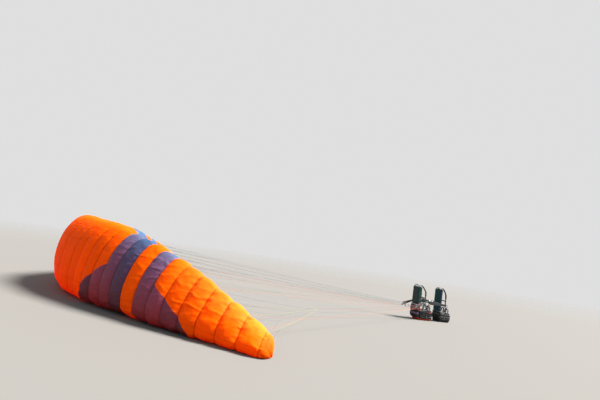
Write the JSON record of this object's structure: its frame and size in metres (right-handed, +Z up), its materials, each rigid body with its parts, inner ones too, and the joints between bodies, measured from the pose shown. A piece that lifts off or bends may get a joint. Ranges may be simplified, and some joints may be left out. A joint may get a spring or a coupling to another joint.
{
  "type": "tandem paraglider",
  "caption": "Tandem paraglider parked half inflated on its trailing edge, with lines, risers, spreader bars and two empty harnesses on the ground.",
  "frame": {"origin": "on the ground, at the centre of the part's bounding box", "axes": "+X the way it flies, from the canopy to the harnesses; +Y the pilot's left; +Z up"},
  "size_m": [10.8889, 11.1182, 1.6418],
  "materials": {
    "canopy_orange": "thin coated ripstop cloth, orange, satin",
    "canopy_violet": "thin coated ripstop cloth, dark violet grey, satin",
    "suspension_line": "thin braided line, blue grey",
    "brake_line": "thin braided line, orange",
    "pulley": "turned pulley, satin",
    "toggle": "padded webbing loop, orange",
    "carabiner": "polished steel",
    "spreader": "anodised plate, dark grey",
    "back_cloth": "woven harness cloth, dark teal",
    "seat_cloth": "woven harness cloth, black",
    "riser_webbing": "flat webbing, dark blue grey",
    "harness_webbing": "flat webbing, black"
  },
  "bodies": {
    "wing": {"a_lines_left": "suspension_line", "a_lines_right": "suspension_line", "b_lines_left": "suspension_line", "b_lines_right": "suspension_line", "brake_lines_left": "brake_line", "brake_lines_right": "brake_line", "brake_pulley_left": "pulley", "brake_pulley_right": "pulley", "c_lines_left": "suspension_line", "c_lines_right": "suspension_line", "canopy_inner_left": "canopy_orange", "canopy_inner_right": "canopy_orange", "canopy_middle": "canopy_orange", "canopy_outer_left": "canopy_orange", "canopy_outer_right": "canopy_orange", "main_carabiner_left": "carabiner", "main_carabiner_right": "carabiner", "orange_stripe_left": "canopy_orange", "orange_stripe_right": "canopy_orange", "riser_left": "riser_webbing", "riser_right": "riser_webbing", "violet_pair_left": "canopy_violet", "violet_pair_right": "canopy_violet", "violet_stripe_left": "canopy_violet", "violet_stripe_right": "canopy_violet", "wing_tip_left": "canopy_orange", "wing_tip_right": "canopy_orange"},
    "spreaders": {"spreader_bar_left": "spreader", "spreader_bar_right": "spreader"},
    "pilot_harness": {"pilot_back": "back_cloth", "pilot_carabiner_left": "carabiner", "pilot_carabiner_right": "carabiner", "pilot_chest_strap": "harness_webbing", "pilot_hang_strap_left": "harness_webbing", "pilot_hang_strap_right": "harness_webbing", "pilot_leg_strap_left": "harness_webbing", "pilot_leg_strap_right": "harness_webbing", "pilot_seat": "seat_cloth", "pilot_shoulder_strap_left": "harness_webbing", "pilot_shoulder_strap_right": "harness_webbing"},
    "passenger_harness": {"passenger_back": "back_cloth", "passenger_carabiner_left": "carabiner", "passenger_carabiner_right": "carabiner", "passenger_chest_strap": "harness_webbing", "passenger_hang_strap_left": "harness_webbing", "passenger_hang_strap_right": "harness_webbing", "passenger_leg_strap_left": "harness_webbing", "passenger_leg_strap_right": "harness_webbing", "passenger_seat": "seat_cloth", "passenger_shoulder_strap_left": "harness_webbing", "passenger_shoulder_strap_right": "harness_webbing"},
    "brake_left": {"brake_toggle_left": "toggle"},
    "brake_right": {"brake_toggle_right": "toggle"}
  },
  "joints": [
    {"name": "spreader_swing", "type": "hinge", "parent": "wing", "child": "spreaders", "pos_m": [4.6625, 0, 0.59], "axis": [0, 1, 0], "range_deg": [-30, 20]},
    {"name": "pilot_swing", "type": "hinge", "parent": "spreaders", "child": "pilot_harness", "pos_m": [4.5725, 0, 0.5], "axis": [0, 1, 0], "range_deg": [-10, 35]},
    {"name": "passenger_swing", "type": "hinge", "parent": "spreaders", "child": "passenger_harness", "pos_m": [5.2125, 0, 0.5], "axis": [0, 1, 0], "range_deg": [-35, 10]},
    {"name": "brake_pull_left", "type": "slide", "parent": "wing", "child": "brake_left", "axis": [1, 0, 0], "range_m": [0, 0.6]},
    {"name": "brake_pull_right", "type": "slide", "parent": "wing", "child": "brake_right", "axis": [1, 0, 0], "range_m": [0, 0.6]}
  ]
}
